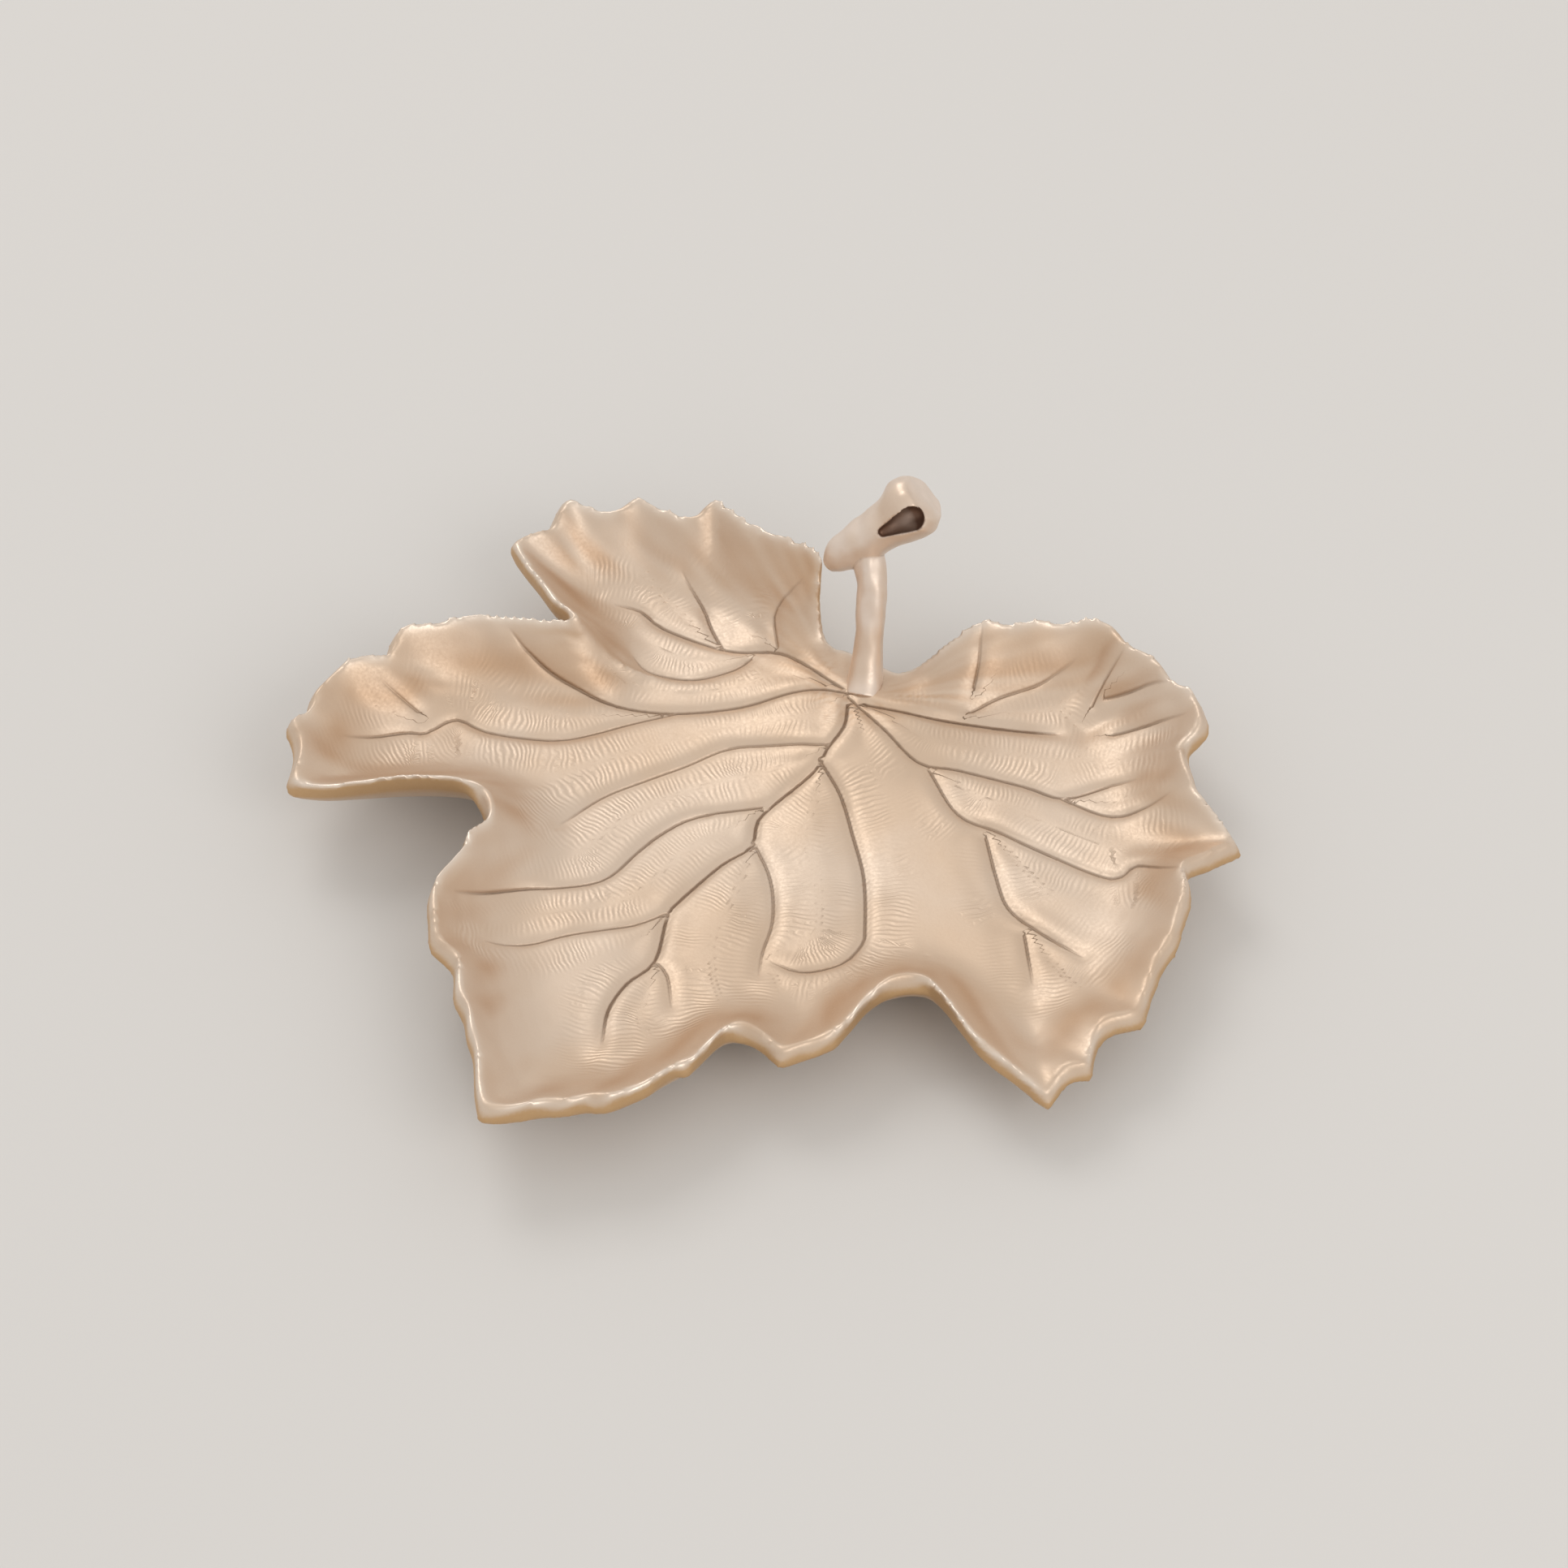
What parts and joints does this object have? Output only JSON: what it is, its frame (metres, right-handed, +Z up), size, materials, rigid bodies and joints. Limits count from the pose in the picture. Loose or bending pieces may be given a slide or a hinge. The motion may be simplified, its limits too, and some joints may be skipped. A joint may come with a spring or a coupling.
{
  "type": "ring dish",
  "caption": "Small cast metal trinket dish in the form of a vine leaf with a turned-up serrated rim, veined top and a twig handle at the back.",
  "frame": {"origin": "on the surface the dish stands on, under the middle of the object's box in plan", "axes": "+Z up, out of the open side of the dish; -Y towards the tip of the end lobe, +Y towards the back lobes and the twig handle; +X to the right, across the side lobes"},
  "size_m": [0.1138, 0.1064, 0.0304],
  "materials": {
    "plated_metal": "satin champagne-gold plating over cast metal, polished on the rim",
    "felt": "dark wool felt"
  },
  "bodies": {
    "root": {"leaf": "plated_metal", "stem": "plated_metal", "foot_front": "plated_metal", "foot_left": "plated_metal", "foot_right": "plated_metal", "pad_front": "felt", "pad_left": "felt", "pad_right": "felt"}
  },
  "joints": []
}
